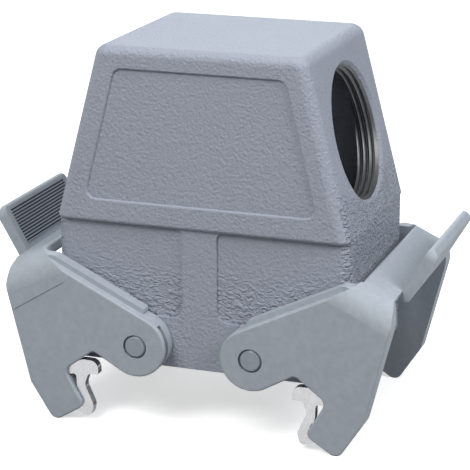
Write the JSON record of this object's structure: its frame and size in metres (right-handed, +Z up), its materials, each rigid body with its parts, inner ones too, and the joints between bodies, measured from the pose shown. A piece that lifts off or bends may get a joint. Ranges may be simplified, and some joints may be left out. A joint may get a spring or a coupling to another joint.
{
  "type": "heavy duty rectangular connector",
  "caption": "Die-cast rectangular connector hood with side cable entry, ribbed U-shaped locking levers with steel hook plates, and a screw terminal socket insert.",
  "frame": {"origin": "on the surface the lever claws stand on, under the middle of the connector", "axes": "+X along the hood towards the cable entry, +Y towards the back, +Z up"},
  "size_m": [0.1088, 0.0582, 0.0904],
  "materials": {
    "hood_coat": "grey powder coat with a coarse orange peel over die-cast aluminium",
    "lever_coat": "smooth satin grey coat over die-cast metal",
    "pin_coat": "grey coated steel",
    "hook_steel": "bright stainless sheet",
    "seal_rubber": "black moulded rubber",
    "insert_plastic": "light grey glass filled plastic",
    "contact_metal": "silver plated copper alloy",
    "screw_steel": "zinc plated steel",
    "bracket_steel": "plated pressed steel"
  },
  "bodies": {
    "hood": {"hood_shell": "hood_coat", "rim_seal": "seal_rubber", "pivot_pin_right_front": "pin_coat", "pivot_pin_right_back": "pin_coat", "pivot_pin_left_front": "pin_coat", "pivot_pin_left_back": "pin_coat", "insert_socket_block": "insert_plastic", "insert_terminal_block": "insert_plastic", "contact_01": "contact_metal", "contact_02": "contact_metal", "contact_03": "contact_metal", "contact_04": "contact_metal", "contact_05": "contact_metal", "contact_06": "contact_metal", "contact_07": "contact_metal", "contact_08": "contact_metal", "contact_09": "contact_metal", "contact_10": "contact_metal", "terminal_screws": "screw_steel", "insert_screws": "screw_steel", "earth_screws": "screw_steel", "earth_bracket_right": "bracket_steel", "earth_bracket_left": "bracket_steel"},
    "right_lever": {"right_lever_frame": "lever_coat", "lock_plate_right_front": "hook_steel", "lock_plate_right_back": "hook_steel"},
    "left_lever": {"left_lever_frame": "lever_coat", "lock_plate_left_front": "hook_steel", "lock_plate_left_back": "hook_steel"}
  },
  "joints": [
    {"name": "right_lever_pivot", "type": "hinge", "parent": "hood", "child": "right_lever", "pos_m": [0.0142, 0, 0.0206], "axis": [0, 1, 0], "range_deg": [0, 48]},
    {"name": "left_lever_pivot", "type": "hinge", "parent": "hood", "child": "left_lever", "pos_m": [-0.0142, 0, 0.0206], "axis": [0, -1, 0], "range_deg": [0, 48]}
  ]
}
